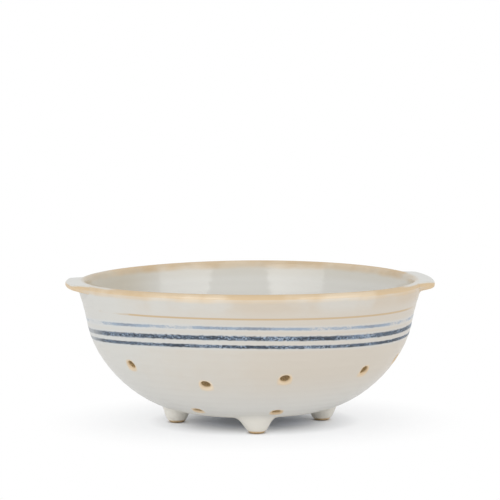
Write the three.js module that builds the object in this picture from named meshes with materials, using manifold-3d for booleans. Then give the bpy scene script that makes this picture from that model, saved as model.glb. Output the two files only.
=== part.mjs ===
// Footed stoneware colander: a thrown bowl with a pierced wall, two lug handles and four cone feet.
// Millimetres, +Z up. The origin is on the table, under the bowl's axis. The handles point along +X and -X.
// Angles round the bowl are in degrees, counted from its front (-Y) towards +X.

import * as THREE from "three";
import { mergeVertices } from "three/addons/utils/BufferGeometryUtils.js";
import Module from "manifold-3d";

// Bowl
const HEIGHT = 91.8; // table to the top of the lip
const RIM_RADIUS = 108.6; // outermost point of the lip
const WALL = 6; // thickness of the wall and the floor, and of the rounded lip
const UNDERSIDE = 8.8; // table to the flat underside
const FLOOR_RADIUS = 40; // flat part of the underside
const WAIST_RADIUS = 101.9; // outside of the wall where the belly turns into the flare
const WAIST_HEIGHT = 63.5; // table to that turn
const WAIST_LEAN = 10.6; // degrees that the wall leans out from upright at the waist
const LIP_LEAN = 20; // degrees that it leans out at the lip
const RIM_DIP = 1.5; // how far the lip sinks at its two low places, near the handles
const RIM_DIP_TURN = 73; // degrees round to the first of them, with the second one opposite
const RIM_TILT = 0.3; // how far the lip rises at the right, and sinks at the left

// Drain holes, punched by hand
const HOLE_RADIUS = 3.2;
const HOLE_MOUTH = 0.9; // softened edge at both ends of a hole
const WALL_ROW = { count: 12, turn: 7.5, rise: 31.5 }; // rise is measured up from the underside
const BELLY_ROW = { count: 7, turn: 9.2, rise: 6.6 };
const FLOOR_ROW = { count: 6, turn: 0, radius: 24 };
const WALL_ROW_DRIFT = [-0.6, 0.7, 3.1, -1.5, 2, -3, 1.2, 3.5, -2, 0.4, 4.2, -4.8]; // up or down, per hole
const WALL_ROW_TURN = [0.4, 5.8, 1.5, 0, -1, -2, -4, -6, -8, -11, -2.2, -0.2]; // sideways, in degrees
const BELLY_ROW_TURN = [0, 11, 5, -2, -6, -4, 7.8];

// Lug handles, each pulled by hand. Its middle is in degrees round the bowl. Its span runs along the rim,
// between the middles of its rounded ends. It reaches out past the lip, and its edge is that thick.
const RIGHT_LUG = { middle: 90, span: 62, reach: 7.7, edge: 5 };
const LEFT_LUG = { middle: 272.1, span: 54, reach: 7.1, edge: 3.9 };
const HANDLE_END = 8.5; // length of a rounded end along the rim
const HANDLE_ROOT = 10.6; // height of its root on the wall, with the hollow blend under it

// Feet
const FOOT_CIRCLE = 46; // bowl axis to foot axis
const FOOT_BASE = 6.5; // half the width just above the pad
const FOOT_ROUND = 4; // rounded edge of the pad
const FOOT_WIDTH = 23; // at the underside, round the bowl
const FOOT_DEPTH = 17.6; // at the underside, towards the bowl's axis
const FOOT_FLARE = 1.15; // above 1 the cone widens faster towards its top

const JOINT_GAP = 0.3; // between the bowl and each piece stuck on it

// Fineness of the facets
const ROUND_SIDES = 64;
const BELLY_STEPS = 10;
const FLARE_STEPS = 4;
const LIP_STEPS = 6;
const HOLE_SIDES = 12;
const HANDLE_STEPS = 28;
const HANDLE_EDGE_STEPS = 6;
const HANDLE_ROOT_STEPS = 4;
const FOOT_SIDES = 28;
const FOOT_STEPS = 5;
const FOOT_ROUND_STEPS = 4;

const CURVE_PULL = 1 / 3; // share of the chord that a curve follows its end directions
const OVERRUN = 4; // how far a cutter, or the blank of a cut piece, runs past its surface
const WELD = 1e-4; // points nearer than this are one point

const GLAZE = 0xdad6cc;
const EDGE_GLAZE = 0xd9cdb8;
const GLAZE_ROUGHNESS = 0.22;

const wasm = await Module();
wasm.setup();

const radians = THREE.MathUtils.degToRad;

function around(radius, angle, z) {
  return new THREE.Vector3(radius * Math.sin(angle), -radius * Math.cos(angle), z);
}

// A direction in the profile plane (radius, height) that leans out from upright.
function leaning(degrees) {
  return new THREE.Vector2(Math.sin(radians(degrees)), Math.cos(radians(degrees)));
}

function fairCurve(start, startLean, end, endLean) {
  const pull = start.distanceTo(end) * CURVE_PULL;
  const leave = start.clone().addScaledVector(leaning(startLean), pull);
  const arrive = end.clone().addScaledVector(leaning(endLean), -pull);
  return new THREE.CubicBezierCurve(start, leave, arrive, end);
}

// Points of the outer wall, from the edge of the flat underside up to the lip, each with its outward normal.
function stationsOf(curve, steps) {
  return Array.from({ length: steps + 1 }, (_, step) => {
    const tangent = curve.getTangent(step / steps);
    return { point: curve.getPoint(step / steps), normal: new THREE.Vector2(tangent.y, -tangent.x) };
  });
}

const lipCentre = new THREE.Vector2(RIM_RADIUS - WALL / 2, HEIGHT - WALL / 2);
const floorEdge = new THREE.Vector2(FLOOR_RADIUS, UNDERSIDE);
const waist = new THREE.Vector2(WAIST_RADIUS, WAIST_HEIGHT);
const lipNormal = new THREE.Vector2(Math.cos(radians(LIP_LEAN)), -Math.sin(radians(LIP_LEAN)));
const lipOuter = lipCentre.clone().addScaledVector(lipNormal, WALL / 2);
const belly = fairCurve(floorEdge, 90, waist, WAIST_LEAN);
const flare = fairCurve(waist, WAIST_LEAN, lipOuter, LIP_LEAN);
const wallStations = [...stationsOf(belly, BELLY_STEPS), ...stationsOf(flare, FLARE_STEPS).slice(1)];

// The wall's station where its height ("y") or its radius ("x") has a given value.
function wallAt(axis, value) {
  const above = wallStations.findIndex(({ point }) => point[axis] >= value);
  if (above <= 0) {
    return wallStations[0];
  }
  const low = wallStations[above - 1];
  const high = wallStations[above];
  const share = (value - low.point[axis]) / (high.point[axis] - low.point[axis]);
  return {
    point: low.point.clone().lerp(high.point, share),
    normal: low.normal.clone().lerp(high.normal, share).normalize(),
  };
}

function wallSkin(depth) {
  return wallStations.map(({ point, normal }) => point.clone().addScaledVector(normal, -depth));
}

function lipArc(radius, fromDegrees, toDegrees) {
  const arc = new THREE.EllipseCurve(
    lipCentre.x, lipCentre.y, radius, radius, radians(fromDegrees), radians(toDegrees), false, 0);
  return arc.getPoints(LIP_STEPS);
}

// A lathe round +Z: three.js turns its profile round +Y.
function revolve(profile, sides) {
  return new THREE.LatheGeometry(profile, sides).rotateX(Math.PI / 2);
}

// A closed skin over rings of equally many points, which run anticlockwise seen from the last ring.
// The first point of a ring sees all of its others.
function loft(rings) {
  const count = rings[0].length;
  const last = (rings.length - 1) * count;
  const index = [];
  for (let ring = 0; ring < last; ring += count) {
    for (let side = 0; side < count; side += 1) {
      const next = (side + 1) % count;
      index.push(ring + side, ring + next, ring + count + next);
      index.push(ring + side, ring + count + next, ring + count + side);
    }
  }
  for (let side = 1; side < count - 1; side += 1) {
    index.push(0, side + 1, side);
    index.push(last, last + side, last + side + 1);
  }
  const geometry = new THREE.BufferGeometry().setFromPoints(rings.flat());
  geometry.setIndex(index);
  return geometry;
}

function toSolid(geometry) {
  const bare = new THREE.BufferGeometry();
  bare.setAttribute("position", geometry.getAttribute("position").clone());
  bare.setIndex(geometry.getIndex());
  const merged = mergeVertices(bare, WELD);
  const mesh = new wasm.Mesh({
    numProp: 3,
    vertProperties: new Float32Array(merged.getAttribute("position").array),
    triVerts: new Uint32Array(merged.getIndex().array),
  });
  return new wasm.Manifold(mesh);
}

function toGeometry(solid) {
  const mesh = solid.getMesh();
  const geometry = new THREE.BufferGeometry();
  geometry.setAttribute("position", new THREE.BufferAttribute(new Float32Array(mesh.vertProperties), 3));
  geometry.setIndex(Array.from(mesh.triVerts));
  geometry.computeVertexNormals();
  return geometry;
}

// The pot has settled out of level: it dips near the handles and leans a little, most of all at the lip.
function dipped(geometry) {
  const position = geometry.getAttribute("position");
  const lowSide = around(1, radians(RIM_DIP_TURN), 0);
  for (let i = 0; i < position.count; i += 1) {
    const point = new THREE.Vector3().fromBufferAttribute(position, i);
    const rise = (point.z - UNDERSIDE) / (HEIGHT - UNDERSIDE);
    const low = point.dot(lowSide) / RIM_RADIUS;
    const sink = RIM_DIP * low * low - (RIM_TILT * point.x) / RIM_RADIUS;
    position.setZ(i, point.z - sink * rise * rise);
  }
  geometry.computeVertexNormals();
  return geometry;
}

// Bowl

function bowlBlank() {
  const profile = [
    new THREE.Vector2(0, UNDERSIDE),
    ...wallSkin(0),
    ...lipArc(WALL / 2, -LIP_LEAN, 180 - LIP_LEAN).slice(1, -1),
    ...wallSkin(WALL).reverse(),
    new THREE.Vector2(0, UNDERSIDE + WALL),
  ];
  return toSolid(revolve(profile, ROUND_SIDES));
}

// The bowl's outside filled up solid and grown by the joint gap: what a handle or a foot is fitted against.
function seatBlock() {
  const profile = [
    new THREE.Vector2(0, UNDERSIDE - JOINT_GAP),
    ...wallSkin(-JOINT_GAP),
    ...lipArc(WALL / 2 + JOINT_GAP, -LIP_LEAN, 90).slice(1),
    new THREE.Vector2(0, HEIGHT + JOINT_GAP),
  ];
  return toSolid(revolve(profile, ROUND_SIDES));
}

// A punch stands on its own +Y, with the wall's outside at 0 and its inside a wall below.
function punchGeometry() {
  const mouth = HOLE_RADIUS + HOLE_MOUTH;
  const profile = [
    new THREE.Vector2(0, -WALL - OVERRUN),
    new THREE.Vector2(mouth, -WALL - OVERRUN),
    new THREE.Vector2(mouth, -WALL),
    new THREE.Vector2(HOLE_RADIUS, HOLE_MOUTH - WALL),
    new THREE.Vector2(HOLE_RADIUS, -HOLE_MOUTH),
    new THREE.Vector2(mouth, 0),
    new THREE.Vector2(mouth, OVERRUN),
    new THREE.Vector2(0, OVERRUN),
  ];
  return new THREE.LatheGeometry(profile, HOLE_SIDES);
}

const punch = punchGeometry();

function punchAt(angle, { point, normal }) {
  const outward = around(normal.x, angle, normal.y);
  const turn = new THREE.Quaternion().setFromUnitVectors(new THREE.Vector3(0, 1, 0), outward);
  const place = new THREE.Matrix4().makeRotationFromQuaternion(turn);
  place.setPosition(around(point.x, angle, point.y));
  return toSolid(punch.clone().applyMatrix4(place));
}

function rowAngle(row, hole, aside) {
  return radians(row.turn + (360 * hole) / row.count + aside);
}

function drainHoles() {
  const floorNormal = new THREE.Vector2(0, -1);
  const holes = [punchAt(0, { point: new THREE.Vector2(0, UNDERSIDE), normal: floorNormal })];
  for (let hole = 0; hole < FLOOR_ROW.count; hole += 1) {
    const point = new THREE.Vector2(FLOOR_ROW.radius, UNDERSIDE);
    holes.push(punchAt(rowAngle(FLOOR_ROW, hole, 0), { point, normal: floorNormal }));
  }
  for (let hole = 0; hole < BELLY_ROW.count; hole += 1) {
    const angle = rowAngle(BELLY_ROW, hole, BELLY_ROW_TURN[hole]);
    holes.push(punchAt(angle, wallAt("y", UNDERSIDE + BELLY_ROW.rise)));
  }
  for (let hole = 0; hole < WALL_ROW.count; hole += 1) {
    const angle = rowAngle(WALL_ROW, hole, WALL_ROW_TURN[hole]);
    holes.push(punchAt(angle, wallAt("y", UNDERSIDE + WALL_ROW.rise + WALL_ROW_DRIFT[hole])));
  }
  return holes;
}

function bowlGeometry() {
  const pierced = drainHoles().reduce((bowl, hole) => bowl.subtract(hole), bowlBlank());
  return dipped(toGeometry(pierced));
}

// Lug handles

// How far the handle stands out past the lip, at a distance along the rim from the handle's middle.
function handleReach(lug, along) {
  const fromEnd = lug.span / 2 + HANDLE_END / 2 - Math.abs(along);
  return lug.reach * THREE.MathUtils.smoothstep(fromEnd, 0, HANDLE_END);
}

// A section runs out along the flat top, round the edge and back along the hollow underside.
function handleSection(lug, angle, reach) {
  const edge = lug.edge / 2;
  const inside = RIM_RADIUS - WALL;
  const tip = RIM_RADIUS + reach;
  const rootHeight = HEIGHT - HANDLE_ROOT;
  const round = new THREE.EllipseCurve(
    tip - edge, HEIGHT - edge, edge, edge, Math.PI / 2, -Math.PI / 2, true, 0);
  const edgeFoot = new THREE.Vector2(tip - edge, HEIGHT - lug.edge);
  const root = new THREE.Vector2(wallAt("y", rootHeight).point.x - JOINT_GAP, rootHeight);
  const hollow = new THREE.Vector2(Math.min(RIM_RADIUS, edgeFoot.x), edgeFoot.y - edge / 2);
  const outline = [
    new THREE.Vector2(inside, HEIGHT),
    ...round.getPoints(HANDLE_EDGE_STEPS).slice(0, -1),
    ...new THREE.QuadraticBezierCurve(edgeFoot, hollow, root).getPoints(HANDLE_ROOT_STEPS),
    new THREE.Vector2(inside, rootHeight),
  ];
  return outline.map((point) => around(point.x, angle, point.y));
}

function handleGeometry(seat, lug) {
  const half = lug.span / 2 + HANDLE_END / 2;
  const sections = Array.from({ length: HANDLE_STEPS + 1 }, (_, step) => {
    const along = half * ((2 * step) / HANDLE_STEPS - 1);
    return handleSection(lug, radians(lug.middle) + along / RIM_RADIUS, handleReach(lug, along));
  });
  return dipped(toGeometry(toSolid(loft(sections)).subtract(seat)));
}

// Feet

function footRing(halfWidth, halfDepth, z) {
  return Array.from({ length: FOOT_SIDES }, (_, side) => {
    const turn = (2 * Math.PI * side) / FOOT_SIDES;
    return new THREE.Vector3(halfWidth * Math.sin(turn), -FOOT_CIRCLE - halfDepth * Math.cos(turn), z);
  });
}

// The front foot: a round pad, a rounded edge and an oval cone that runs up into the bowl.
// Its top is cut to fit the bowl.
function footGeometry(seat) {
  const pad = FOOT_BASE - FOOT_ROUND;
  const rise = wallAt("x", FOOT_CIRCLE).point.y - FOOT_ROUND;
  const rings = [];
  for (let step = 0; step < FOOT_ROUND_STEPS; step += 1) {
    const turn = (Math.PI / 2) * (step / FOOT_ROUND_STEPS);
    const half = pad + FOOT_ROUND * Math.sin(turn);
    rings.push(footRing(half, half, FOOT_ROUND * (1 - Math.cos(turn))));
  }
  const overrun = 1 + OVERRUN / rise;
  for (let step = 0; step <= FOOT_STEPS; step += 1) {
    const share = (overrun * step) / FOOT_STEPS;
    const spread = share ** FOOT_FLARE;
    const halfWidth = THREE.MathUtils.lerp(FOOT_BASE, FOOT_WIDTH / 2, spread);
    const halfDepth = THREE.MathUtils.lerp(FOOT_BASE, FOOT_DEPTH / 2, spread);
    rings.push(footRing(halfWidth, halfDepth, FOOT_ROUND + rise * share));
  }
  return toGeometry(toSolid(loft(rings)).subtract(seat));
}

// Assembly

function piece(name, geometry, color, turn) {
  const material = new THREE.MeshStandardMaterial({ color, roughness: GLAZE_ROUGHNESS, metalness: 0 });
  const mesh = new THREE.Mesh(geometry, material);
  mesh.name = name;
  mesh.rotation.z = radians(turn);
  return mesh;
}

const seat = seatBlock();
const foot = footGeometry(seat);

const colander = new THREE.Group();
colander.add(piece("bowl", bowlGeometry(), GLAZE, 0));
colander.add(piece("handle_right", handleGeometry(seat, RIGHT_LUG), EDGE_GLAZE, 0));
colander.add(piece("handle_left", handleGeometry(seat, LEFT_LUG), EDGE_GLAZE, 0));
["foot_front", "foot_right", "foot_back", "foot_left"].forEach((name, place) => {
  colander.add(piece(name, foot, GLAZE, 90 * place));
});

export default colander;
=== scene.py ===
# Looks of the footed stoneware colander: glazed surfaces, a white ground and soft studio light.
# Lengths on the object are in millimetres until a mesh is made, and in metres for the stage.
# Angles round the bowl run from its front (-Y) towards +X.
import math

import bpy
import numpy as np
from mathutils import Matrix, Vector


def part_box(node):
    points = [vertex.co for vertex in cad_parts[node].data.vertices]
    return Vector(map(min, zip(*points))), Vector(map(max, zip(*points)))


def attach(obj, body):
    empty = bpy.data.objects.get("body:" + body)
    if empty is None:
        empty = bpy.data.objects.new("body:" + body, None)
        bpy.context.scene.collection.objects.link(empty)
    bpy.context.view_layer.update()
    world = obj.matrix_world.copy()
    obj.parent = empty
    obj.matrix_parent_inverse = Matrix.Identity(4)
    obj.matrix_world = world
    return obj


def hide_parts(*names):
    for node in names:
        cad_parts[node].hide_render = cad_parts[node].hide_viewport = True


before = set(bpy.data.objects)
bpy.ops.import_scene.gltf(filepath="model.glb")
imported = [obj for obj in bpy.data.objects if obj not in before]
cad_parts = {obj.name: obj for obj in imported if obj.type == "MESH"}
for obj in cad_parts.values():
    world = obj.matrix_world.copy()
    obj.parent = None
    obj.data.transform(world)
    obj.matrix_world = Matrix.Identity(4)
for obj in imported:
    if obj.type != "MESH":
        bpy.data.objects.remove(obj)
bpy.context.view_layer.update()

MM = 0.001


def cad_span(node, axis):
    """Lowest and highest value of a CAD node along an axis, in millimetres."""
    low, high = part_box(node)
    return low[axis] / MM, high[axis] / MM


# Bowl
RIM_RADIUS = cad_span("bowl", 0)[1]
UNDERSIDE = cad_span("bowl", 2)[0]
HEIGHT = 91.8  # top of the lip before the pot settled
WALL = 6.0
FLOOR_RADIUS = 40.0
WAIST_RADIUS = 101.9
WAIST_HEIGHT = 63.5
WAIST_LEAN = 10.6
LIP_LEAN = 20.0
RIM_DIP = 1.5  # how far the rim has sunk at its two lowest places
RIM_DIP_TURN = 73.0  # degrees round the bowl to one of them
RIM_TILT = 0.3  # how far the rim is raised on the right and lowered on the left
CURVE_PULL = 1 / 3  # how long the wall keeps its lean at the ends of a curve, as a share of the curve
WOBBLE = 0.15  # how far the thrown wall strays from round at the rim
WOBBLE_WAVES = ((2, 1.0, 0.6), (3, 0.6, 2.1))  # waves round the rim, their share of it and their start
RIPPLE = 0.05  # height of the faint throwing rings
RIPPLE_PITCH = 6.0

# Drain holes
HOLE_RADIUS = 2.85  # a little less than the punch, because glaze lines the hole
HOLE_MOUTH = 1.05  # rounded edge at the outer end of a hole
HOLE_SAG = 0.5  # how much softer that edge is below a hole than above it
HOLE_INNER_MOUTH = 0.6
HOLE_OVAL = 0.04  # how far a hole strays from round, as a share of its radius
HOLE_OVAL_TURN = 2.4  # twice the turn of that oval from each hole to the next, in radians
WALL_ROW = {"count": 12, "turn": 7.5, "rise": 31.5}
BELLY_ROW = {"count": 7, "turn": 9.2, "rise": 6.6}
FLOOR_ROW = {"count": 6, "turn": 0.0, "radius": 24.0}

# How far off its even place each hole was punched: up in millimetres, and round the bowl in degrees
WALL_ROW_DRIFT = (-0.6, 0.7, 3.1, -1.5, 2.0, -3.0, 1.2, 3.5, -2.0, 0.4, 4.2, -4.8)
WALL_ROW_TURN = (0.4, 5.8, 1.5, 0, -1, -2, -4, -6, -8, -11, -2.2, -0.2)
BELLY_ROW_TURN = (0, 11, 5, -2, -6, -4, 7.8)

# Lug handles
HANDLE_SINK = 0.04  # how far its top lies under the lip's top
HANDLE_END_SINK = 0.3  # how much further its ends lie under the lip's skin
HANDLE_FRONT_END = 16.0  # length of its end towards the bowl's front, which runs out slowly into the lip
HANDLE_BACK_END = 8.5
HANDLE_EDGE_END = -80.0  # degrees above level where its rounded edge ends and the hollow under it begins
HANDLE_HOLLOW = (0.7, 0.12)  # how the hollow starts: shares of the way to the root, inwards and down
HANDLE_CLING = 4.0  # how far the hollow is drawn up along the wall at the root
HANDLE_ROOT_RISE = 2.5  # how much higher the root lies at its ends
HANDLE_ROOT_SINK = 0.15  # how far the root lies under the wall's skin
HANDLE_BURIED = 2.5  # depth of its joint in the wall at the root
HANDLE_BURIED_TOP = 1.5  # the same at the lip, inwards and down
HANDLES = (
    {"name": "handle_right", "middle": 90.0, "forward": -1, "front": 31.0, "back": 31.0,
     "edge": 5.0, "root": 10.6},
    {"name": "handle_left", "middle": 270.0, "forward": 1, "front": 31.0, "back": 23.0,
     "edge": 3.9, "root": 7.2},
)

# Feet
FOOT_CIRCLE = 46.0
FOOT_BASE = 6.5
FOOT_ROUND = 4.0
FOOT_LEAN = 45.0  # lean of the side where it leaves that rounding
FOOT_WIDTH = 23.0
FOOT_DEPTH = 17.6
FOOT_FILLET = 4.6  # blend between the cone and the underside
FOOT_SINK = 0.1  # how far the blend's edge lies under the bowl's skin
FOOT_NARROWER = 1.9  # how much less the cone measures on each side, under that blend
FOOT_SIDE_PULL = 0.5  # how long the side keeps its lean, as a share of its length
FOOT_BLEND_PULL = 1.2  # how long the blend keeps to the underside, in fillets
FOOT_BURIED = (-1.0, 1.6)  # from the blend's edge inwards and up to the joint in the bowl
PAD_MIDDLE = 0.4  # radius of the smallest ring on the pad
LEAST_OUT = 0.1  # limit that keeps the climb of a steep wall finite
FEET = (
    {"name": "foot_front", "place": 0.0, "fuller_left": 1.5, "fuller_out": 0.0},
    {"name": "foot_right", "place": 90.0, "fuller_left": 0.0, "fuller_out": 1.5},
    {"name": "foot_back", "place": 180.0, "fuller_left": 0.7, "fuller_out": 0.0},
    {"name": "foot_left", "place": 270.0, "fuller_left": 0.0, "fuller_out": 0.0},
)

# Thin glaze at the lip and the handles. Degrees run from level outside, up over the lip and down inside.
LIP_SIDE = (-4.0, 16.0)
LIP_CREST = (35.0, 60.0)
LIP_TOP = (60.0, 85.0)
LIP_INSIDE = (95.0, 150.0)
LIP_OUTSIDE = (120.0, 60.0)  # the colours of the inside turn into those of the outside
LIP_EDGE_THIN = 0.42  # thinness of the glaze at the lip's lower edge
LIP_SIDE_THIN = 0.5  # what is added to it on the lip's side
LIP_TOP_THIN = 0.08  # what is added on its top
LIP_PALE = 0.8  # how much of its tan the lip's crest loses beside the handles
PALE_INSIDE = 0.3  # share of that loss which reaches the inside
PALE_START = 0.76  # sine of the angle round the bowl where the loss begins
PALE_START_BACK_RIGHT = 0.975
UNDER_LIP = (HEIGHT - 5.9, HEIGHT - 4.3)  # heights between which the glaze thins towards the lip, outside
INSIDE_LIP = (HEIGHT - 6.5, HEIGHT - 2.6)  # the same inside
INSIDE_THIN = 0.6  # thinness of the glaze at the lip's inner edge
INSIDE_LESS = 0.3  # how much less that is near the handles
INSIDE_LEFT = (0.75, 0.97)  # sines of the angles round the bowl where it grows less, left and right
INSIDE_RIGHT = (0.95, 1.0)
HANDLE_PALE = (40.0, 85.0)  # where the pale top begins over a handle's edge, at its ends
HANDLE_PALE_LOWER = 30.0  # how much lower that lies at its middle

# Thin glaze and bare clay at the holes and the pads
HOLE_THIN = 0.55  # thinness of the glaze on the skin beside a hole's mouth
HOLE_THIN_START = 0.75  # where it begins, as a share of the way from the patch's edge to the mouth
HOLE_THIN_LOWER = 0.7  # how much further out it begins below a hole, where the mouth sags
MOUTH_THIN = 0.6  # thinness of the glaze where a mouth begins
MOUTH_DEPTH = 0.5  # depth under either skin where it is thinnest
BORE_OUTSIDE = (0.6, 1.5)  # depths under the outer skin between which the clay becomes bare
BORE_INSIDE = (0.2, 0.8)  # the same under the inner skin
PAD_THIN = (2.2, 1.0)  # heights between which the glaze thins towards a pad
PAD_BARE = (1.3, 0.6)  # heights between which the clay becomes bare

# Fineness of the meshes
COLUMNS = 228  # round the bowl, few enough to keep its mesh under 196,000 triangles
ROW_STEP = 1.15
LIP_ROWS = 24
FLOOR_STEPS = 80
CURVE_STEPS = 200
HOLE_BLOCK = 7.0  # half the patch of wall that is laid round a hole
HOLE_RINGS = (0.3, 0.55, 0.75, 0.88)  # where rings lie on that patch, from its edge to the mouth
MOUTH_STEPS = 9
BORE_STEPS = 7
INNER_MOUTH_STEPS = 6
HANDLE_SECTIONS = 120
HANDLE_TOP_STEPS = 8
HANDLE_EDGE_STEPS = 18
HANDLE_HOLLOW_STEPS = 16
FOOT_COLUMNS = 96
FOOT_SIDE_STEPS = 30
PAD_STEPS = 6
PAD_ROUND_STEPS = 10


def leaning(degrees):
    """Direction (radius, height) that leans outwards from upright."""
    return np.array([math.sin(math.radians(degrees)), math.cos(math.radians(degrees))])


def bezier(points, steps):
    a, b, c, d = (np.asarray(point, float) for point in points)
    t = np.linspace(0, 1, steps)[:, None]
    return (1 - t) ** 3 * a + 3 * (1 - t) ** 2 * t * b + 3 * (1 - t) * t ** 2 * c + t ** 3 * d


def fair_curve(start, start_lean, end, end_lean):
    """A curve with a given lean at its start and at its end."""
    start, end = np.asarray(start, float), np.asarray(end, float)
    pull = np.linalg.norm(end - start) * CURVE_PULL
    leave, arrive = start + leaning(start_lean) * pull, end - leaning(end_lean) * pull
    return bezier((start, leave, arrive, end), CURVE_STEPS)


def ease(values, low, high):
    """Smooth step from 0 at low to 1 at high."""
    share = np.clip((np.asarray(values, float) - low) / (high - low), 0, 1)
    return share * share * (3 - 2 * share)


# The outer wall as a line from the axis to the lip: points, directions and distance along it
LIP_CENTRE = np.array([RIM_RADIUS - WALL / 2, HEIGHT - WALL / 2])
LIP_NORMAL = np.array([math.cos(math.radians(LIP_LEAN)), -math.sin(math.radians(LIP_LEAN))])
WAIST = (WAIST_RADIUS, WAIST_HEIGHT)
LINE = np.concatenate([
    np.linspace((0, UNDERSIDE), (FLOOR_RADIUS, UNDERSIDE), FLOOR_STEPS)[:-1],
    fair_curve((FLOOR_RADIUS, UNDERSIDE), 90, WAIST, WAIST_LEAN)[:-1],
    fair_curve(WAIST, WAIST_LEAN, LIP_CENTRE + LIP_NORMAL * WALL / 2, LIP_LEAN),
])
LINE_RADIUS, LINE_HEIGHT = LINE.T
LINE_STEP = np.gradient(LINE, axis=0)
LINE_OUT, LINE_UP = (LINE_STEP / np.linalg.norm(LINE_STEP, axis=1)[:, None]).T
LINE_LENGTH = np.concatenate([[0], np.cumsum(np.linalg.norm(np.diff(LINE, axis=0), axis=1))])


def wall_point(along, depth):
    """Radius and height of a point of the wall, at a depth under its outer skin."""
    ripple = RIPPLE * np.sin(2 * np.pi * along / RIPPLE_PITCH) * ease(along, FLOOR_RADIUS, 2 * FLOOR_RADIUS)
    inward = depth - ripple
    radius = np.interp(along, LINE_LENGTH, LINE_RADIUS) - inward * np.interp(along, LINE_LENGTH, LINE_UP)
    height = np.interp(along, LINE_LENGTH, LINE_HEIGHT) + inward * np.interp(along, LINE_LENGTH, LINE_OUT)
    return radius, height


def along_at_height(height):
    """Distance along the line at a height of the wall, beyond the floor."""
    return float(np.interp(height, LINE_HEIGHT[FLOOR_STEPS:], LINE_LENGTH[FLOOR_STEPS:]))


def around(radius, angle, height):
    """Points at a radius, an angle round the bowl and a height."""
    return np.stack(np.broadcast_arrays(radius * np.sin(angle), -radius * np.cos(angle), height), axis=-1)


def settled(points):
    """The pot has settled out of level and a little out of round, most of all at the lip."""
    x, y, z = points.T
    rise = np.clip((z - UNDERSIDE) / (HEIGHT - UNDERSIDE), 0, None) ** 2
    low_side = around(1.0, math.radians(RIM_DIP_TURN), 0.0)
    sink = RIM_DIP * (points @ low_side / RIM_RADIUS) ** 2 - RIM_TILT * x / RIM_RADIUS
    angle = np.arctan2(x, -y)
    stray = sum(share * np.sin(waves * angle + start) for waves, share, start in WOBBLE_WAVES)
    grow = 1 + stray * WOBBLE / RIM_RADIUS * rise
    return np.stack([x * grow, y * grow, z - sink * rise], axis=1)


class Skin:
    """Points, point masks and faces of a mesh that is built up from rings."""

    def __init__(self):
        self.points = []
        self.masks = {"thin": [], "clay": [], "wall": []}
        self.faces = []
        self.count = 0

    def add_ring(self, points, **masks):
        ring = np.arange(self.count, self.count + len(points))
        self.count += len(points)
        self.points.append(points)
        for name, values in self.masks.items():
            values.append(np.broadcast_to(masks.get(name, 0.0), len(points)))
        return ring

    def join(self, ring, next_ring):
        quads = np.stack([ring, np.roll(ring, -1), np.roll(next_ring, -1), next_ring], axis=1)
        self.faces += quads.tolist()

    def make_piece(self, name, node, slot, material):
        """A smooth object that rides on the frame and stands for a CAD node."""
        used = np.unique(np.concatenate(self.faces))
        renumber = np.zeros(self.count, int)
        renumber[used] = np.arange(len(used))
        points = settled(np.concatenate(self.points)[used]) * MM
        mesh = bpy.data.meshes.new(name)
        mesh.from_pydata(points.tolist(), [], [renumber[face].tolist() for face in self.faces])
        for mask, values in self.masks.items():
            attribute = mesh.attributes.new(mask, "FLOAT", "POINT")
            attribute.data.foreach_set("value", np.concatenate(values)[used].astype(np.float32))
        mesh.polygons.foreach_set("use_smooth", np.ones(len(mesh.polygons), bool))
        mesh.update()
        mesh.materials.append(material)
        piece = bpy.data.objects.new(name, mesh)
        bpy.context.scene.collection.objects.link(piece)
        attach(piece, "root")
        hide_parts(node)


def loft(rings, masks):
    """A closed skin over rings of equally many points, which run anticlockwise seen from the last ring."""
    skin = Skin()
    ids = [skin.add_ring(ring, **ring_masks) for ring, ring_masks in zip(rings, masks)]
    for ring, next_ring in zip(ids, ids[1:]):
        skin.join(ring, next_ring)
    skin.faces.append(ids[0][::-1].tolist())
    skin.faces.append(ids[-1].tolist())
    return skin


# Handles

def handle_limits(handle):
    """How far a handle runs along the rim from its middle, to the back and to the front of the bowl."""
    return -handle["back"] - HANDLE_BACK_END / 2, handle["front"] + HANDLE_FRONT_END / 2


def handle_share(handle, along):
    """1 over a handle's middle, falling to 0 round its ends."""
    back, front = handle_limits(handle)
    return ease(along, back, back + HANDLE_BACK_END) * ease(along, front, front - HANDLE_FRONT_END)


def pale_beside_handles(angles):
    """How pale the lip's crest is at angles round the bowl, because a handle's pale top spreads over it."""
    to_right, to_back = np.sin(angles), -np.cos(angles)
    start = np.where((to_right > 0) & (to_back > 0), PALE_START_BACK_RIGHT, PALE_START)
    return LIP_PALE * ease(np.abs(to_right), start, (start + 1) / 2)


def crest_share(turn):
    """1 on the crest of the lip, falling to 0 on its outer side."""
    return ease(turn, *LIP_CREST)


def lip_fade(turn, share):
    """Thinness of the glaze from the lip's outer edge down, which spreads lower under a handle."""
    side = np.maximum(ease(turn, *LIP_SIDE), share)
    return LIP_EDGE_THIN + LIP_SIDE_THIN * side + LIP_TOP_THIN * ease(turn, *LIP_TOP)


def handle_thin(turn, share, top_count, hollow_count):
    """Thinness of the glaze over a handle's top, edge and hollow, at one place along the rim."""
    top = (1 - LIP_PALE) * (1 - share * (1 - np.linspace(1, 0, top_count) ** 2))
    start, full = (degrees - HANDLE_PALE_LOWER * share for degrees in HANDLE_PALE)
    pale = np.maximum(share * ease(turn, start, full), LIP_PALE * crest_share(turn))
    edge = lip_fade(turn, share) * (1 - pale)
    hollow = edge[-1] * np.linspace(1, 0, hollow_count) ** 3
    return np.concatenate([top, edge, hollow])


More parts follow.
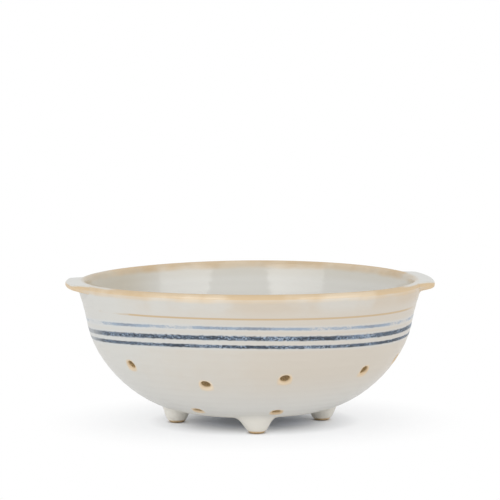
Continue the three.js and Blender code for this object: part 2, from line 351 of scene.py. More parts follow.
def handle_section(handle, share, full_reach):
    """Outline (radius, height) of a handle at one place along the rim, and where its glaze is thin."""
    edge = WALL / 2 + share * (handle["edge"] - WALL) / 2
    sink = HANDLE_SINK + HANDLE_END_SINK * (1 - share)
    tip = RIM_RADIUS + share * full_reach - sink
    top = HEIGHT - sink
    lip_middle = LIP_CENTRE[0]
    flat = np.linspace((lip_middle, top), (tip - edge, top), HANDLE_TOP_STEPS)[:-1]
    turn = np.linspace(90, HANDLE_EDGE_END, HANDLE_EDGE_STEPS)
    out, up = np.cos(np.radians(turn)), np.sin(np.radians(turn))
    rounded = np.stack([tip - edge + edge * out, top - edge + edge * up], axis=1)
    root_along = along_at_height(HEIGHT - handle["root"] + (1 - share) * HANDLE_ROOT_RISE)
    root = np.array(wall_point(root_along, HANDLE_ROOT_SINK))
    up_wall = np.array([np.interp(root_along, LINE_LENGTH, side) for side in (LINE_OUT, LINE_UP)])
    start = rounded[-1]
    leave = start + (root - start) * HANDLE_HOLLOW
    arrive = root + up_wall * HANDLE_CLING * share
    hollow = bezier((start, leave, arrive, root), HANDLE_HOLLOW_STEPS)[1:]
    joint_top = (lip_middle - HANDLE_BURIED_TOP, top - HANDLE_BURIED_TOP)
    buried = np.array([root - LIP_NORMAL * HANDLE_BURIED, joint_top])
    outline = np.concatenate([flat, rounded, hollow, buried])
    thin = handle_thin(turn, share, len(flat), len(hollow))
    return outline, np.concatenate([thin, np.zeros(len(buried))])


def add_handle(handle, material):
    name, forward = handle["name"], handle["forward"]
    reach = max(np.abs(cad_span(name, 0))) - RIM_RADIUS
    rings = []
    masks = []
    for along in np.linspace(*handle_limits(handle), HANDLE_SECTIONS)[::forward]:
        share = float(handle_share(handle, along))
        outline, thin = handle_section(handle, share, reach)
        angle = math.radians(handle["middle"]) + forward * along / RIM_RADIUS
        rings.append(around(outline[:, 0], angle, outline[:, 1]))
        masks.append({"thin": thin, "wall": 1.0})
    loft(rings, masks).make_piece(name + "_lug", name, "handle_glaze", material)


# Feet

def underside_at(radius):
    """Height of the bowl's underside over a radius, and how steeply it climbs outwards."""
    height = np.interp(radius, LINE_RADIUS, LINE_HEIGHT)
    climb = np.interp(radius, LINE_RADIUS, LINE_UP / np.maximum(LINE_OUT, LEAST_OUT))
    return float(height), float(climb)


def foot_profile(foot, turn):
    """Distance from the foot's axis and height, from the pad up into the bowl, towards one of its sides."""
    outward, sideways = math.cos(turn), math.sin(turn)
    half_width = FOOT_WIDTH / 2 - FOOT_NARROWER
    half_depth = FOOT_DEPTH / 2 - FOOT_NARROWER / 2
    fuller = foot["fuller_left"] * max(-sideways, 0.0) + foot["fuller_out"] * max(outward, 0.0)
    oval = half_width * half_depth / math.hypot(half_depth * sideways, half_width * outward) + fuller
    reach = oval + FOOT_FILLET
    oval_height, _ = underside_at(math.hypot(FOOT_CIRCLE + oval * outward, oval * sideways))
    reach_height, climb = underside_at(math.hypot(FOOT_CIRCLE + reach * outward, reach * sideways))
    pad_edge = FOOT_BASE - FOOT_ROUND
    pad = np.linspace((PAD_MIDDLE, 0.0), (pad_edge, 0.0), PAD_STEPS)[:-1]
    corner = np.radians(np.linspace(-90, -FOOT_LEAN, PAD_ROUND_STEPS))
    rounded = np.stack([pad_edge + FOOT_ROUND * np.cos(corner), FOOT_ROUND * (1 + np.sin(corner))], axis=1)
    start = rounded[-1]
    meet = np.array([reach, reach_height + FOOT_SINK])
    leave = leaning(FOOT_LEAN) * math.hypot(oval - start[0], oval_height - start[1]) * FOOT_SIDE_PULL
    arrive = np.array([1.0, climb * outward]) * FOOT_FILLET * FOOT_BLEND_PULL
    side = bezier((start, start + leave, meet - arrive, meet), FOOT_SIDE_STEPS)[1:]
    return np.concatenate([pad, rounded, side, [meet + FOOT_BURIED]])


def add_foot(foot, material):
    name, place = foot["name"], math.radians(foot["place"])
    turns = np.linspace(0, 2 * np.pi, FOOT_COLUMNS, endpoint=False)
    profiles = np.stack([foot_profile(foot, turn) for turn in turns])
    rings = []
    masks = []
    for reach, height in profiles.transpose(1, 2, 0):
        outward = FOOT_CIRCLE + reach * np.cos(turns)
        sideways = reach * np.sin(turns)
        rings.append(around(np.hypot(outward, sideways), place + np.arctan2(sideways, outward), height))
        masks.append({"clay": ease(height, *PAD_BARE), "thin": ease(height, *PAD_THIN), "wall": 1.0})
    loft(rings, masks).make_piece(name + "_cone", name, "foot_glaze", material)


# Bowl

def row_angle(row, hole, aside):
    return math.radians(row["turn"] + 360 * hole / row["count"] + aside)


def hole_places():
    """Angle, distance along the wall and sag of each hole but the middle one."""
    places = []
    for hole in range(FLOOR_ROW["count"]):
        places.append((row_angle(FLOOR_ROW, hole, 0.0), FLOOR_ROW["radius"], 0.0))
    for hole in range(BELLY_ROW["count"]):
        along = along_at_height(UNDERSIDE + BELLY_ROW["rise"])
        places.append((row_angle(BELLY_ROW, hole, BELLY_ROW_TURN[hole]), along, HOLE_SAG / 2))
    for hole in range(WALL_ROW["count"]):
        along = along_at_height(UNDERSIDE + WALL_ROW["rise"] + WALL_ROW_DRIFT[hole])
        places.append((row_angle(WALL_ROW, hole, WALL_ROW_TURN[hole]), along, HOLE_SAG))
    return places


def hole_profile(mouth):
    """Pairs of radius and depth down a hole: over its outer edge, along its bore, over its inner edge."""
    bore_end = WALL - HOLE_INNER_MOUTH
    profile = []
    for turn in np.linspace(0, np.pi / 2, MOUTH_STEPS):
        profile.append((HOLE_RADIUS + mouth * (1 - math.sin(turn)), mouth * (1 - math.cos(turn))))
    for share in np.linspace(0, 1, BORE_STEPS)[1:-1]:
        profile.append((HOLE_RADIUS, mouth + share * (bore_end - mouth)))
    for turn in np.linspace(np.pi / 2, 0, INNER_MOUTH_STEPS):
        reach = HOLE_RADIUS + HOLE_INNER_MOUTH * (1 - math.sin(turn))
        profile.append((reach, WALL - HOLE_INNER_MOUTH * (1 - math.cos(turn))))
    return profile


def hole_masks(depth):
    """The glaze thins over a hole's edge, and stops in its bore."""
    from_skin = np.minimum(depth, WALL - depth)
    thin = MOUTH_THIN + (1 - MOUTH_THIN) * ease(from_skin, 0.0, MOUTH_DEPTH)
    return {"thin": thin, "clay": ease(depth, *BORE_OUTSIDE) * ease(WALL - depth, *BORE_INSIDE)}


def inside_share(angles):
    """How thin the glaze is at the lip's inner edge, beside its crest: less so near the handles."""
    to_right = np.sin(angles)
    return INSIDE_THIN - INSIDE_LESS * (ease(-to_right, *INSIDE_LEFT) + ease(to_right, *INSIDE_RIGHT))


def lip_masks(turn, angles):
    """Thin glaze over the lip. The tops of the handles are pale, and so is the lip's crest beside them."""
    inward = ease(turn, *LIP_INSIDE)
    crest = crest_share(turn) * (1 - (1 - PALE_INSIDE) * inward)
    inside = 1 - (1 - inside_share(angles)) * inward
    thin = lip_fade(turn, 0.0) * inside * (1 - pale_beside_handles(angles) * crest)
    return {"thin": thin, "wall": ease(turn, *LIP_OUTSIDE)}


def wall_masks(height):
    """Thin glaze just under the lip, outside."""
    return {"thin": LIP_EDGE_THIN * ease(height, *UNDER_LIP), "wall": 1.0}


def inner_masks(height, angles):
    """Thin glaze just under the lip, inside."""
    pale = 1 - pale_beside_handles(angles) * PALE_INSIDE
    return {"thin": inside_share(angles) * pale * ease(height, *INSIDE_LIP)}


def block_edge(first_row, last_row, first_column, last_column):
    """Grid places round a block of the wall, anticlockwise seen from outside, as rows and columns."""
    edge = [(first_row, column) for column in range(first_column, last_column)]
    edge += [(row, last_column) for row in range(first_row, last_row)]
    edge += [(last_row, column) for column in range(last_column, first_column, -1)]
    edge += [(row, first_column) for row in range(last_row, first_row, -1)]
    return np.array(edge).T


class Bowl:
    """The bowl's skin: a grid of rows and columns over its closed section, with a patch round each hole."""

    def __init__(self):
        self.skin = Skin()
        self.step = 2 * np.pi / COLUMNS
        self.angles = self.step * np.arange(COLUMNS)
        rim = LINE_LENGTH[-1]
        start = HOLE_RADIUS + HOLE_MOUTH
        self.stations = np.linspace(start, rim, int((rim - start) / ROW_STEP))
        self.rows = []
        self.add_middle_hole()
        self.outer = [self.add_row(wall_point(along, 0.0), wall_masks) for along in self.stations[1:]]
        self.add_lip()
        self.inner = [self.add_inner_row(along) for along in self.stations[:0:-1]][::-1]
        self.grid = np.array(self.rows)
        self.open = np.zeros(self.grid.shape, bool)
        for number, place in enumerate(hole_places()):
            self.add_hole(number, *place)
        self.close_grid()

    def add_row(self, place, masks):
        radius, height = place
        self.rows.append(self.skin.add_ring(around(radius, self.angles, height), **masks(height)))
        return len(self.rows) - 1

    def add_inner_row(self, along):
        return self.add_row(wall_point(along, WALL), lambda height: inner_masks(height, self.angles))

    def add_middle_hole(self):
        for radius, depth in hole_profile(HOLE_MOUTH)[::-1]:
            self.add_row((radius, UNDERSIDE + depth), lambda height: hole_masks(height - UNDERSIDE))

    def add_lip(self):
        for turn in np.linspace(-LIP_LEAN, 180 - LIP_LEAN, LIP_ROWS)[1:-1]:
            out, up = math.cos(math.radians(turn)), math.sin(math.radians(turn))
            place = LIP_CENTRE + WALL / 2 * np.array([out, up])
            self.add_row(place, lambda height, turn=turn: lip_masks(turn, self.angles))

    def add_hole(self, number, angle, along, sag):
        """Opens the grid round a hole, and lays rings from there through the hole to the inside."""
        radius = float(np.interp(along, LINE_LENGTH, LINE_RADIUS))
        row = int(np.argmin(np.abs(self.stations[1:] - along)))
        column = round(angle / self.step)
        half_rows = math.ceil(HOLE_BLOCK / ROW_STEP)
        half_columns = math.ceil(HOLE_BLOCK / (radius * self.step))
        row_range = row - half_rows, row + half_rows
        column_range = column - half_columns, column + half_columns
        rows, columns = block_edge(*row_range, *column_range)
        edge_along = self.stations[1:][rows]
        edge_angle = columns * self.step
        side = np.arctan2(edge_along - along, (edge_angle - angle) * radius)
        oval = 1 + HOLE_OVAL * np.cos(2 * side + HOLE_OVAL_TURN * number)
        mouth = HOLE_MOUTH * (1 - sag * np.sin(side))
        low_side = np.clip(-np.sin(side), 0, 1) * sag

        def circle(reach):
            return along + reach * oval * np.sin(side), angle + reach * oval * np.cos(side) / radius

        def wall_ring(ring_along, ring_angle, depth, **masks):
            ring_radius, ring_height = wall_point(ring_along, depth)
            return self.skin.add_ring(around(ring_radius, ring_angle, ring_height), **masks)

        def blend_ring(share, depth, reach, **masks):
            mouth_along, mouth_angle = circle(reach)
            ring_along = edge_along + (mouth_along - edge_along) * share
            ring_angle = edge_angle + (mouth_angle - edge_angle) * share
            return wall_ring(ring_along, ring_angle, depth, **masks)

        rings = [self.grid[np.array(self.outer)[rows], columns % COLUMNS]]
        for share in HOLE_RINGS:
            thin = HOLE_THIN * ease(share, HOLE_THIN_START - HOLE_THIN_LOWER * low_side, 1.0)
            rings.append(blend_ring(share, 0.0, HOLE_RADIUS + mouth, thin=thin, wall=1.0))
        for reach, depth in hole_profile(mouth):
            rings.append(wall_ring(*circle(reach), depth, **hole_masks(depth)))
        for share in HOLE_RINGS[::-1]:
            thin = HOLE_THIN * ease(share, HOLE_THIN_START, 1.0)
            rings.append(blend_ring(share, WALL, HOLE_RADIUS + HOLE_INNER_MOUTH, thin=thin))
        rings.append(self.grid[np.array(self.inner)[rows], columns % COLUMNS])
        for ring, next_ring in zip(rings, rings[1:]):
            self.skin.join(ring, next_ring)
        open_columns = np.arange(*column_range) % COLUMNS
        for cell in range(*row_range):
            self.open[self.outer[cell], open_columns] = True
            self.open[self.inner[cell + 1], open_columns] = True

    def close_grid(self):
        next_column = np.roll(self.grid, -1, axis=1)
        next_row = np.roll(self.grid, -1, axis=0)
        both = np.roll(next_row, -1, axis=1)
        quads = np.stack([self.grid, next_column, both, next_row], axis=-1)
        self.skin.faces += quads[~self.open].tolist()


# Materials

WHITE = (1.0, 1.0, 1.0, 1.0)


def srgb(red, green, blue):
    """A colour written in the 0 to 255 scale of a screen, as the linear colour that shaders take."""
    def linear(value):
        return value / 12.92 if value <= 0.04045 else ((value + 0.055) / 1.055) ** 2.4
    return (linear(red / 255), linear(green / 255), linear(blue / 255), 1.0)


class Graph:
    """A node tree, with short calls for the nodes that it is made of."""

    def __init__(self, owner, output):
        owner.use_nodes = True
        self.tree = owner.node_tree
        self.tree.nodes.clear()
        self.output = self.tree.nodes.new(output)

    def feed(self, socket, value):
        if isinstance(value, bpy.types.NodeSocket):
            self.tree.links.new(value, socket)
        else:
            socket.default_value = value

    def node(self, kind, inputs, **settings):
        node = self.tree.nodes.new(kind)
        for key, value in settings.items():
            setattr(node, key, value)
        for key, value in inputs.items():
            self.feed(node.inputs[key], value)
        return node

    def math(self, operation, *values):
        return self.node("ShaderNodeMath", dict(enumerate(values)), operation=operation).outputs[0]

    def plus(self, value, share, amount):
        """A value to which a share of an amount is added."""
        return self.math("MULTIPLY_ADD", share, amount, value)

    def product(self, first, *others):
        for other in others:
            first = self.math("MULTIPLY", first, other)
        return first

    def inverse(self, value):
        return self.math("SUBTRACT", 1.0, value)

    def hypot(self, x, y):
        return self.math("SQRT", self.math("ADD", self.product(x, x), self.product(y, y)))

    def ramp(self, value, low, high, kind="LINEAR"):
        """From 0 where a value is low to 1 where it is high."""
        inputs = {"Value": value, "From Min": low, "From Max": high}
        return self.node("ShaderNodeMapRange", inputs, interpolation_type=kind).outputs["Result"]

    def ease(self, value, low, high):
        return self.ramp(value, low, high, "SMOOTHSTEP")

    def mix(self, share, first, second):
        return self.node("ShaderNodeMix", {0: share, 6: first, 7: second}, data_type="RGBA").outputs[2]

    def noise(self, vector, scale, detail=2.0, roughness=0.5):
        inputs = {"Vector": vector, "Scale": scale, "Detail": detail, "Roughness": roughness}
        return self.node("ShaderNodeTexNoise", inputs).outputs["Fac"]

    def stretched(self, vector, stretch):
        return self.node("ShaderNodeVectorMath", {0: vector, 1: stretch}, operation="MULTIPLY").outputs[0]

    def mask(self, name):
        return self.node("ShaderNodeAttribute", {}, attribute_name=name).outputs["Fac"]

    def place(self):
        return self.node("ShaderNodeTexCoord", {}).outputs["Object"]

    def background_share(self):
        """1 for rays that see the background: from the camera, in a mirror or through glass."""
        path = self.node("ShaderNodeLightPath", {}).outputs
        seen = self.math("MAXIMUM", path["Is Camera Ray"], path["Is Glossy Ray"])
        return self.math("MAXIMUM", seen, path["Is Transmission Ray"])

    def finish(self, shader):
        self.tree.links.new(shader.outputs[0], self.output.inputs["Surface"])


# Colours of the glaze and the clay
COOL_GLAZE = srgb(205, 204, 199)
WARM_GLAZE = srgb(202, 194, 182)
WARM_PATCH = srgb(199, 185, 166)
TOP_GLAZE = srgb(220, 220, 215)
LOW_GLAZE = srgb(206, 205, 201)
# Painted light: the feet are lighter than the body, and the left foot lighter still
FEET_PAINTED_LIGHT = srgb(232, 229, 221)
LEFT_FOOT_PAINTED_LIGHT = srgb(243, 240, 232)
# Inside: partly the glaze's own paler, bluer colour, partly painted light
INNER_GLAZE_AND_LIGHT = srgb(221, 220, 215)
INNER_WARM = srgb(215, 211, 201)
INNER_SHADE = srgb(205, 198, 183)
HALO_GLAZE = srgb(201, 207, 212)
TAN_LIGHT = srgb(222, 203, 175)
TAN_DEEP = srgb(210, 185, 149)
TAN_LINE = srgb(194, 171, 139)
BAND_LIGHT = srgb(132, 152, 175)
BAND_MIDDLE = srgb(104, 120, 140)
BAND_DARK = srgb(40, 50, 62)
# Dark clay in the bores, made darker partly as painted shade in the holes
DARK_CLAY_AND_SHADE = srgb(146, 122, 84)
CLAY_LIGHT = srgb(192, 164, 118)
CLAY_PALE = srgb(206, 176, 128)

# Shine of the glaze
GLAZE_SHINE = 0.045  # share of the light that the glaze mirrors
GLAZE_COAT = 0.4  # share of that shine which grows towards the edges
GLAZE_IOR = 1.5
GLAZE_ROUGH = 0.05
CLOUD_ROUGH = 0.06  # roughness that the clouds, the tan and the bare clay add
TAN_ROUGH = 0.1
CLAY_ROUGH = 0.4
PEEL_SHARE = 0.05  # how much of the faint ripple shows in the shine
PEEL_HEIGHT = 0.4

# Noise in the glaze: its waves in a millimetre, and how detailed and rough they are
CLOUD = {"scale": 0.018, "detail": 3.0}
FINE_CLOUD = {"scale": 0.09, "detail": 3.0}
PATCH = {"scale": 0.06}
WANDER = {"scale": 0.055}
RAGGED = {"scale": 0.5}
PEEL = {"scale": 0.3}
GRAIN = {"scale": 1.4, "detail": 1.0, "roughness": 0.7}
BRUSHED = (1.0, 1.0, 2.0)  # brushed noise is twice as long round the pot as up it

# Where one colour turns into the next: from the first of two places to the second, in millimetres
WARM_X = (-30.0, 80.0)
CLOUD_DRIFT = 90.0  # how far the clouds and the fine clouds push that aside
FINE_DRIFT = 45.0
UNDER_LIP_FROM = (77.0, 84.0)
UNDER_LIP_TO = (90.0, 87.0)
WARMER_X = (70.0, 92.0)
WARMER_SHARE = 0.5  # how much of the warm patches shows where the tan is deep
COOLER_X = (80.0, 50.0)
COOLER_SHARE = 0.5
TOP_Z = (86.0, 90.0)
LOW_Z = (44.0, 16.0)
FEET_LIGHT_Z = (15.0, 8.0)
LEFT_FOOT_LIGHT_X = (-30.0, -45.0)
INNER_WARM_Z = (78.0, 88.0)
INNER_SHADE_X = (-45.0, -80.0)
PAD_PALE_Z = (3.0, 2.0)
CLAY_GRAIN = (0.35, 0.65)  # values of the grain between which dark clay turns light

# Tan, where the glaze is thin
BREAK_START = (0.0, 0.2)  # thinness over which the breaking sets in
BREAK_EDGE = (0.35, 1.15)  # thinness and noise together over which whole glaze turns into broken
WANDER_SHARE = 0.7  # how much the noise adds
# At the front of the lip the lighter tan between these patches is painted highlight.
TAN_PATCHES = 7.0  # soft patches round the pot where the glaze ran thinner, so that the tan is deeper
BY_HANDLES = (96.0, 108.0)
FRONT_RIGHT_X = (62.0, 80.0)
FRONT_RIGHT_Y = (0.0, -30.0)
LEVEL_TOP = (0.88, 0.98)  # how far a surface looks up
DEEPER_IN_PATCHES = 0.14
# Deeper tan by the handles: partly glaze, partly painted shade on their edges
DEEPER_BY_HANDLES = 0.25
DEEPER_FRONT_RIGHT = 0.3
DEEPER_ON_TOP = 0.35
TAN_DEPTH = (0.3, 0.7)  # sum of these and a noise between which light tan turns deep

# Lines brushed on the wall. Each sinks and tilts like the pot, only more, because it was drawn by hand.
BRUSH_TURN = -25.0  # degrees from +X towards +Y to the side where the strokes hang lowest
BRUSH_LOADS = 8.0  # how often the brush was loaded round the pot
BRUSH_LOADED = -5.0  # degrees round the bowl where it was full
TAN_STROKE = {"height": 77.4, "droop": 2.3, "tilt": 0.55, "half": 0.8, "core": 0.4,
              "start": (-62.0, -42.0), "ragged": 60.0, "end": (102.0, 88.0)}
BAND_STROKES = (
    {"height": 72.2, "droop": 5.1, "tilt": 1.6, "half": 1.0, "strength": 0.78, "ink": BAND_MIDDLE,
     "cover": 0.1, "dark": -0.28, "patchy": 1.0, "loads": 0.2, "front": 0.2},
    {"height": 66.3, "droop": 5.3, "tilt": 2.0, "half": 1.55, "strength": 1.0, "ink": BAND_DARK,
     "cover": 0.25, "dark": 0.05, "patchy": 0.4, "loads": -0.02, "front": 0.0},
    {"height": 61.0, "droop": 4.8, "tilt": 1.65, "half": 1.15, "strength": 1.0, "ink": BAND_DARK,
     "cover": 0.25, "dark": 0.07, "patchy": 0.4, "loads": 0.02, "front": 0.0},
)
BAND_FRONT_Y = (-85.0, -100.0)
BAND_FAINTER_X = (-91.0, -100.0)
BAND_FAINTER = 0.45  # how much fainter the bands are at the far left
BAND_RAGGED = 0.9  # how far a band's edges fray, as a share of half its width
BAND_EDGE = (1.05, 1.6)  # where a frayed edge begins and ends, in the same shares
COVER_SOFT = 0.1  # how softly the ink starts, and how softly it turns dark
DARK_SOFT = 0.04
HALO_WIDTH = 1.8  # pale rim of the glaze along a band
HALO_SHARE = 0.35


class GlazePainter:
    """Paints the glaze of the pot in layers, from places on it in millimetres and its masks."""

    def __init__(self, graph):
        self.g = graph
        self.spot = graph.stretched(graph.place(), (1 / MM, 1 / MM, 1 / MM))
        self.x, self.y, self.z = graph.node("ShaderNodeSeparateXYZ", {0: self.spot}).outputs
        self.turn = graph.math("ARCTAN2", self.x, graph.product(self.y, -1.0))
        self.thin, self.clay, self.wall = (graph.mask(name) for name in ("thin", "clay", "wall"))
        brushed = graph.stretched(self.spot, BRUSHED)
        self.cloud = graph.noise(self.spot, **CLOUD)
        self.fine_cloud = graph.noise(self.spot, **FINE_CLOUD)
        self.grain = graph.noise(self.spot, **GRAIN)
        self.patch = graph.noise(brushed, **PATCH)
        self.ragged = graph.noise(brushed, **RAGGED)
        first_load = -BRUSH_LOADS * math.radians(BRUSH_LOADED)
        self.load = graph.math("COSINE", graph.plus(first_load, self.turn, BRUSH_LOADS))
        self.deep = self.tan_depth()
        self.broken = self.tan_share()

    def tan_depth(self):
        """How deep the tan is: more so in patches, by the handles, at the front right and on level tops."""
        g = self.g
        # patches of deeper tan; at the front of the lip the lighter tan between them is painted highlight
        patches = g.math("COSINE", g.product(self.turn, TAN_PATCHES))
        # partly painted shade on the handles' tan edges
        by_handles = g.ease(g.math("ABSOLUTE", self.x), *BY_HANDLES)
        front_right = g.product(g.ease(self.x, *FRONT_RIGHT_X), g.ease(self.y, *FRONT_RIGHT_Y))
        normal = g.node("ShaderNodeNewGeometry", {}).outputs["Normal"]
        upward = g.node("ShaderNodeSeparateXYZ", {0: normal}).outputs["Z"]
        depth = g.plus(g.noise(self.spot, **PATCH), patches, DEEPER_IN_PATCHES)
        depth = g.plus(depth, by_handles, DEEPER_BY_HANDLES)
        depth = g.plus(depth, front_right, DEEPER_FRONT_RIGHT)
        depth = g.plus(depth, g.ease(upward, *LEVEL_TOP), DEEPER_ON_TOP)
        return g.ease(depth, *TAN_DEPTH)

    def tan_share(self):
        """How far the glaze has broken to tan: where it is thin, up to a wandering edge."""
        g = self.g
        wander = g.plus(self.thin, g.noise(self.spot, **WANDER), WANDER_SHARE)
        return g.product(g.ease(wander, *BREAK_EDGE), g.ease(self.thin, *BREAK_START))

    def body(self):
        """Cool grey on the left, warmer cream in clouds to the right, greyer low down, paler inside partly
        as painted light.
        """
        g = self.g
        drift = g.plus(g.plus(self.x, self.cloud, CLOUD_DRIFT), self.fine_cloud, FINE_DRIFT)
        warm = g.ease(drift, *WARM_X)
        outside = g.mix(warm, COOL_GLAZE, WARM_GLAZE)
        under_lip = g.product(g.ease(self.z, *UNDER_LIP_FROM), g.ease(self.z, *UNDER_LIP_TO))
        warmer = g.math("MAXIMUM", g.product(self.deep, WARMER_SHARE), g.ease(self.x, *WARMER_X))
        outside = g.mix(g.product(under_lip, warmer, warm), outside, WARM_PATCH)
        cooler = g.product(g.inverse(self.deep), g.ease(self.x, *COOLER_X), COOLER_SHARE)
        outside = g.mix(g.product(under_lip, cooler), outside, COOL_GLAZE)
        outside = g.mix(g.ease(self.z, *TOP_Z), outside, TOP_GLAZE)
        outside = g.mix(g.ease(self.z, *LOW_Z), outside, LOW_GLAZE)
        # painted light on the feet, strongest on the left foot
        foot = g.mix(g.ease(self.x, *LEFT_FOOT_LIGHT_X), FEET_PAINTED_LIGHT, LEFT_FOOT_PAINTED_LIGHT)
        outside = g.mix(g.ease(self.z, *FEET_LIGHT_Z), outside, foot)
        inside = g.mix(g.ease(self.z, *INNER_WARM_Z), INNER_GLAZE_AND_LIGHT, INNER_WARM)
        inside = g.mix(g.ease(self.x, *INNER_SHADE_X), inside, INNER_SHADE)
        return g.mix(self.wall, inside, outside)

    def stroke_offset(self, stroke):
        """Distance above or below the middle of a stroke."""
        g = self.g
        reach = g.hypot(self.x, self.y)
        right = g.math("DIVIDE", self.x, reach)
        back = g.math("DIVIDE", self.y, reach)
        turn = math.radians(BRUSH_TURN)
        low = g.plus(g.product(back, math.sin(turn)), right, math.cos(turn))
        level = g.plus(stroke["height"], g.product(low, low), -stroke["droop"])
        level = g.plus(level, right, stroke["tilt"])
        return g.math("ABSOLUTE", g.math("SUBTRACT", self.z, level))

    def tan_line(self, body):
        """A thin tan line, which starts raggedly on the left and ends before the right handle."""
        g = self.g
        half = TAN_STROKE["half"]
        drawn = g.inverse(g.ease(self.stroke_offset(TAN_STROKE), half * TAN_STROKE["core"], half))
        starts = g.ease(g.plus(self.x, self.patch, TAN_STROKE["ragged"]), *TAN_STROKE["start"])
        ends = g.ease(self.x, *TAN_STROKE["end"])
        return g.mix(g.product(drawn, self.wall, starts, ends), body, TAN_LINE)

    def bands(self, body):
        """Blue bands with a dry brush's grain and frayed edges, each in a pale halo."""
        g = self.g
        unfaded = g.plus(1.0, g.ease(self.x, *BAND_FAINTER_X), -BAND_FAINTER)
        front = g.ease(self.y, *BAND_FRONT_Y)
        for stroke in BAND_STROKES:
            half = stroke["half"]
            offset = self.stroke_offset(stroke)
            halo = g.inverse(g.ease(offset, half, half + HALO_WIDTH))
            body = g.mix(g.product(halo, self.wall, HALO_SHARE), body, HALO_GLAZE)
            frayed = g.plus(offset, self.ragged, half * BAND_RAGGED)
            drawn = g.inverse(g.ease(frayed, *(half * share for share in BAND_EDGE)))
            ink = g.plus(self.grain, self.patch, stroke["patchy"])
            ink = g.plus(ink, self.load, stroke["loads"])
            ink = g.plus(ink, front, stroke["front"])
            middle = (1 + stroke["patchy"]) / 2
            covered, dark = middle - stroke["cover"], middle - stroke["dark"]
            full = g.ease(ink, covered - COVER_SOFT, covered + COVER_SOFT)
            deep = g.ease(ink, dark - DARK_SOFT, dark + DARK_SOFT)
            laid = g.product(drawn, full, self.wall, unfaded, stroke["strength"])
            body = g.mix(laid, body, g.mix(deep, BAND_LIGHT, stroke["ink"]))
        return body

    def tan_breaks(self, body):
        """Tan at the lip, at edges and round the holes."""
        return self.g.mix(self.broken, body, self.g.mix(self.deep, TAN_LIGHT, TAN_DEEP))

    def bare_clay(self, body):
        """Unglazed clay in the bores of the holes, darker there partly as painted shade, paler on the pads
        of the feet.
        """
        g = self.g
        bare = g.mix(g.ease(self.grain, *CLAY_GRAIN), DARK_CLAY_AND_SHADE, CLAY_LIGHT)
        bare = g.mix(g.ease(self.z, *PAD_PALE_Z), bare, CLAY_PALE)
        return g.mix(self.clay, body, bare)


def glaze_material():
    """Glossy cream-grey glaze that breaks to tan, with brushed bands and bare clay in the holes and pads."""
    material = bpy.data.materials.new("stoneware_glaze")
    g = Graph(material, "ShaderNodeOutputMaterial")
    painter = GlazePainter(g)
    colour = painter.bare_clay(painter.tan_breaks(painter.bands(painter.tan_line(painter.body()))))
    rough = g.plus(GLAZE_ROUGH, painter.fine_cloud, CLOUD_ROUGH)
    rough = g.plus(rough, painter.broken, TAN_ROUGH)
    rough = g.plus(rough, painter.clay, CLAY_ROUGH)
    peel = {"Height": g.noise(painter.spot, **PEEL), "Strength": PEEL_SHARE, "Distance": PEEL_HEIGHT * MM}
    normal = g.node("ShaderNodeBump", peel).outputs[0]
    base = g.node("ShaderNodeBsdfPrincipled", {
        "Base Color": colour, "Roughness": 1.0, "Specular IOR Level": 0.0, "Normal": normal,
        "Coat Weight": GLAZE_COAT, "Coat Roughness": rough, "Coat IOR": GLAZE_IOR, "Coat Normal": normal})
    gloss = g.node("ShaderNodeBsdfGlossy", {"Color": WHITE, "Roughness": rough, "Normal": normal})
    even_shine = GLAZE_SHINE * (1 - GLAZE_COAT)
    g.finish(g.node("ShaderNodeMixShader", {0: even_shine, 1: base.outputs[0], 2: gloss.outputs[0]}))
    return material


# Stage

STAGE_RADIUS = 6.0
STAGE_SIDES = 128
WORLD_LIGHT = 0.7
FLOOR_BOUNCE = (1.2, 1.2, 1.2, 1.0)  # how white the floor is for the light that it throws back
BOUNCE_UNDER = (0.7, 0.7, 0.7, 1.0)  # the same under the middle of the bowl
BOUNCE_FADE = (0.015, 0.05)  # between these distances from the shadow's middle it changes to the first
FLOOR_SEEN = (0.8, 0.825, 0.87, 1.0)  # how white the camera sees it
FLOOR_DARK = (0.76, 0.83, 0.98, 1.0)  # the same in the middle of the shadow, which is bluer
DARK_FADE = (0.02, 0.04)  # between these distances from the shadow's middle it changes to the first
SHADOW_CORE = (0.012, 0.0575)  # the shadow fades out between these distances from its middle
SHADOW_LIFT = 0.05  # share of plain white in the middle of the shadow
SHADOW_LEFT = 0.28  # share of the shadow that is left where its core ends
SHADOW_FAR = (0.045, 0.12)  # that share fades to plain white between these
SHADOW_SHAPE = (0.85, 1.0, 1.0)  # below 1 it reaches further along that axis
SHADOW_MIDDLE = (0.003, 0.0, 0.0)
SHADOW_CONTACT = (0.004, 0.0075)  # round the middle of each foot it stays dark up to these distances


def distance_to_feet(g):
    """Distance on the floor from the middle of the nearest foot."""
    x, y, _ = g.node("ShaderNodeSeparateXYZ", {0: g.place()}).outputs
    sides = g.math("ABSOLUTE", x), g.math("ABSOLUTE", y)
    beyond = g.math("SUBTRACT", g.math("MAXIMUM", *sides), FOOT_CIRCLE * MM)
    return g.hypot(beyond, g.math("MINIMUM", *sides))


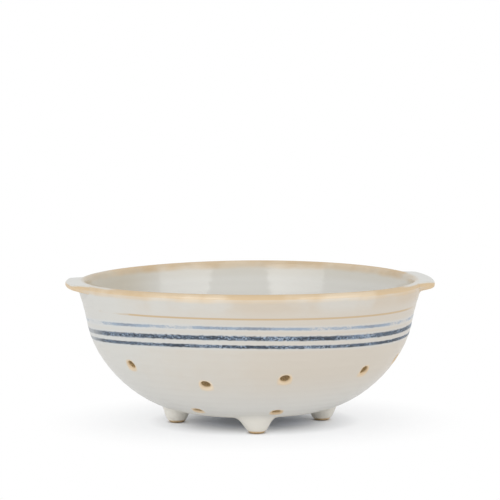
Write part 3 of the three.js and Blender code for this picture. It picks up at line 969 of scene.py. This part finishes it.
def floor_material():
    """White ground with a soft shadow under the bowl, which fades into plain white."""
    material = bpy.data.materials.new("white_floor")
    g = Graph(material, "ShaderNodeOutputMaterial")
    seen = g.background_share()
    spot = g.node("ShaderNodeVectorMath", {0: g.place(), 1: SHADOW_MIDDLE}, operation="SUBTRACT").outputs[0]
    spot = g.stretched(spot, SHADOW_SHAPE)
    away = g.node("ShaderNodeVectorMath", {0: spot}, operation="LENGTH").outputs["Value"]
    bounce = g.mix(g.ease(away, *BOUNCE_FADE), BOUNCE_UNDER, FLOOR_BOUNCE)
    tint = g.mix(g.ease(away, *DARK_FADE), FLOOR_DARK, FLOOR_SEEN)
    matt = g.node("ShaderNodeBsdfDiffuse", {"Color": g.mix(seen, bounce, tint)})
    plain = g.node("ShaderNodeEmission", {"Color": WHITE, "Strength": 1.0})
    fading = g.ramp(away, *SHADOW_CORE)
    white = g.plus(SHADOW_LIFT, g.product(fading, fading), 1 - SHADOW_LEFT - SHADOW_LIFT)
    white = g.plus(white, g.ease(away, *SHADOW_FAR), SHADOW_LEFT)
    share = g.product(white, seen, g.ease(distance_to_feet(g), *SHADOW_CONTACT))
    g.finish(g.node("ShaderNodeMixShader", {0: share, 1: matt.outputs[0], 2: plain.outputs[0]}))
    return material


def add_floor():
    bpy.ops.mesh.primitive_circle_add(vertices=STAGE_SIDES, radius=STAGE_RADIUS, fill_type="NGON")
    floor = bpy.context.object
    floor.name = "floor"
    floor.data.materials.append(floor_material())


def light_world():
    """Even light from all round, and a plain white background."""
    world = bpy.data.worlds.new("studio")
    bpy.context.scene.world = world
    g = Graph(world, "ShaderNodeOutputWorld")
    light = g.node("ShaderNodeBackground", {"Color": WHITE, "Strength": WORLD_LIGHT})
    white = g.node("ShaderNodeBackground", {"Color": WHITE, "Strength": 1.0})
    share = g.background_share()
    g.finish(g.node("ShaderNodeMixShader", {0: share, 1: light.outputs[0], 2: white.outputs[0]}))


# Camera: degrees round the bowl from its front, metres from its axis and from the floor, degrees below level
CAMERA_TURN = -5.5
CAMERA_AWAY = 1.4416
CAMERA_HEIGHT = 0.2388
CAMERA_DOWN = 5.17
CAMERA_ASIDE = 0.0003
CAMERA_LENS = 165.9
CAMERA_SENSOR = 36.0


def add_camera():
    data = bpy.data.cameras.new("camera")
    data.lens = CAMERA_LENS
    data.sensor_width = CAMERA_SENSOR
    camera = bpy.data.objects.new("camera", data)
    turn = math.radians(CAMERA_TURN)
    right = np.array([math.cos(turn), math.sin(turn), 0.0])
    camera.location = around(CAMERA_AWAY, turn, CAMERA_HEIGHT) + CAMERA_ASIDE * right
    camera.rotation_euler = (math.radians(90 - CAMERA_DOWN), 0.0, turn)
    bpy.context.scene.collection.objects.link(camera)
    bpy.context.scene.camera = camera


# Softboxes: degrees to the right of the camera and up, metres, brightness beside white, its fall across
SOFTBOX_AWAY = 1.1
SOFTBOX_TARGET = np.array([0.0, 0.0, 0.07])
SOFTBOXES = (
    {"name": "softbox_left", "turn": -39.5, "rise": 27.0, "width": 0.84, "height": 0.50,
     "glow": 1.95, "fade": -0.6},
    {"name": "softbox_right", "turn": 54.5, "rise": 27.0, "width": 0.80, "height": 0.50,
     "glow": 1.73, "fade": 0.4},
)


def fade_across(lamp_data, fade):
    """Lets a lamp's light fall from one side to the other, by a share of its middle."""
    g = Graph(lamp_data, "ShaderNodeOutputLight")
    place = g.node("ShaderNodeNewGeometry", {}).outputs["Parametric"]
    across = g.node("ShaderNodeSeparateXYZ", {0: place}).outputs["X"]
    strength = g.plus(1 + fade / 2, across, -fade)
    g.finish(g.node("ShaderNodeEmission", {"Color": WHITE, "Strength": strength}))


def add_softbox(name, turn, rise, width, height, glow, fade):
    data = bpy.data.lights.new(name, "AREA")
    data.shape = "RECTANGLE"
    data.size = width
    data.size_y = height
    data.energy = glow * math.pi * width * height
    fade_across(data, fade)
    lamp = bpy.data.objects.new(name, data)
    angle, lift = math.radians(CAMERA_TURN + turn), math.radians(rise)
    away, up = SOFTBOX_AWAY * math.cos(lift), SOFTBOX_AWAY * math.sin(lift)
    lamp.location = SOFTBOX_TARGET + around(away, angle, up)
    lamp.rotation_euler = (math.pi / 2 - lift, 0.0, angle)
    bpy.context.scene.collection.objects.link(lamp)


bpy.context.scene.view_settings.view_transform = "Standard"
add_camera()
add_floor()
light_world()
for softbox in SOFTBOXES:
    add_softbox(**softbox)
glaze = glaze_material()
Bowl().skin.make_piece("bowl_body", "bowl", "bowl_glaze", glaze)
for handle in HANDLES:
    add_handle(handle, glaze)
for foot in FEET:
    add_foot(foot, glaze)
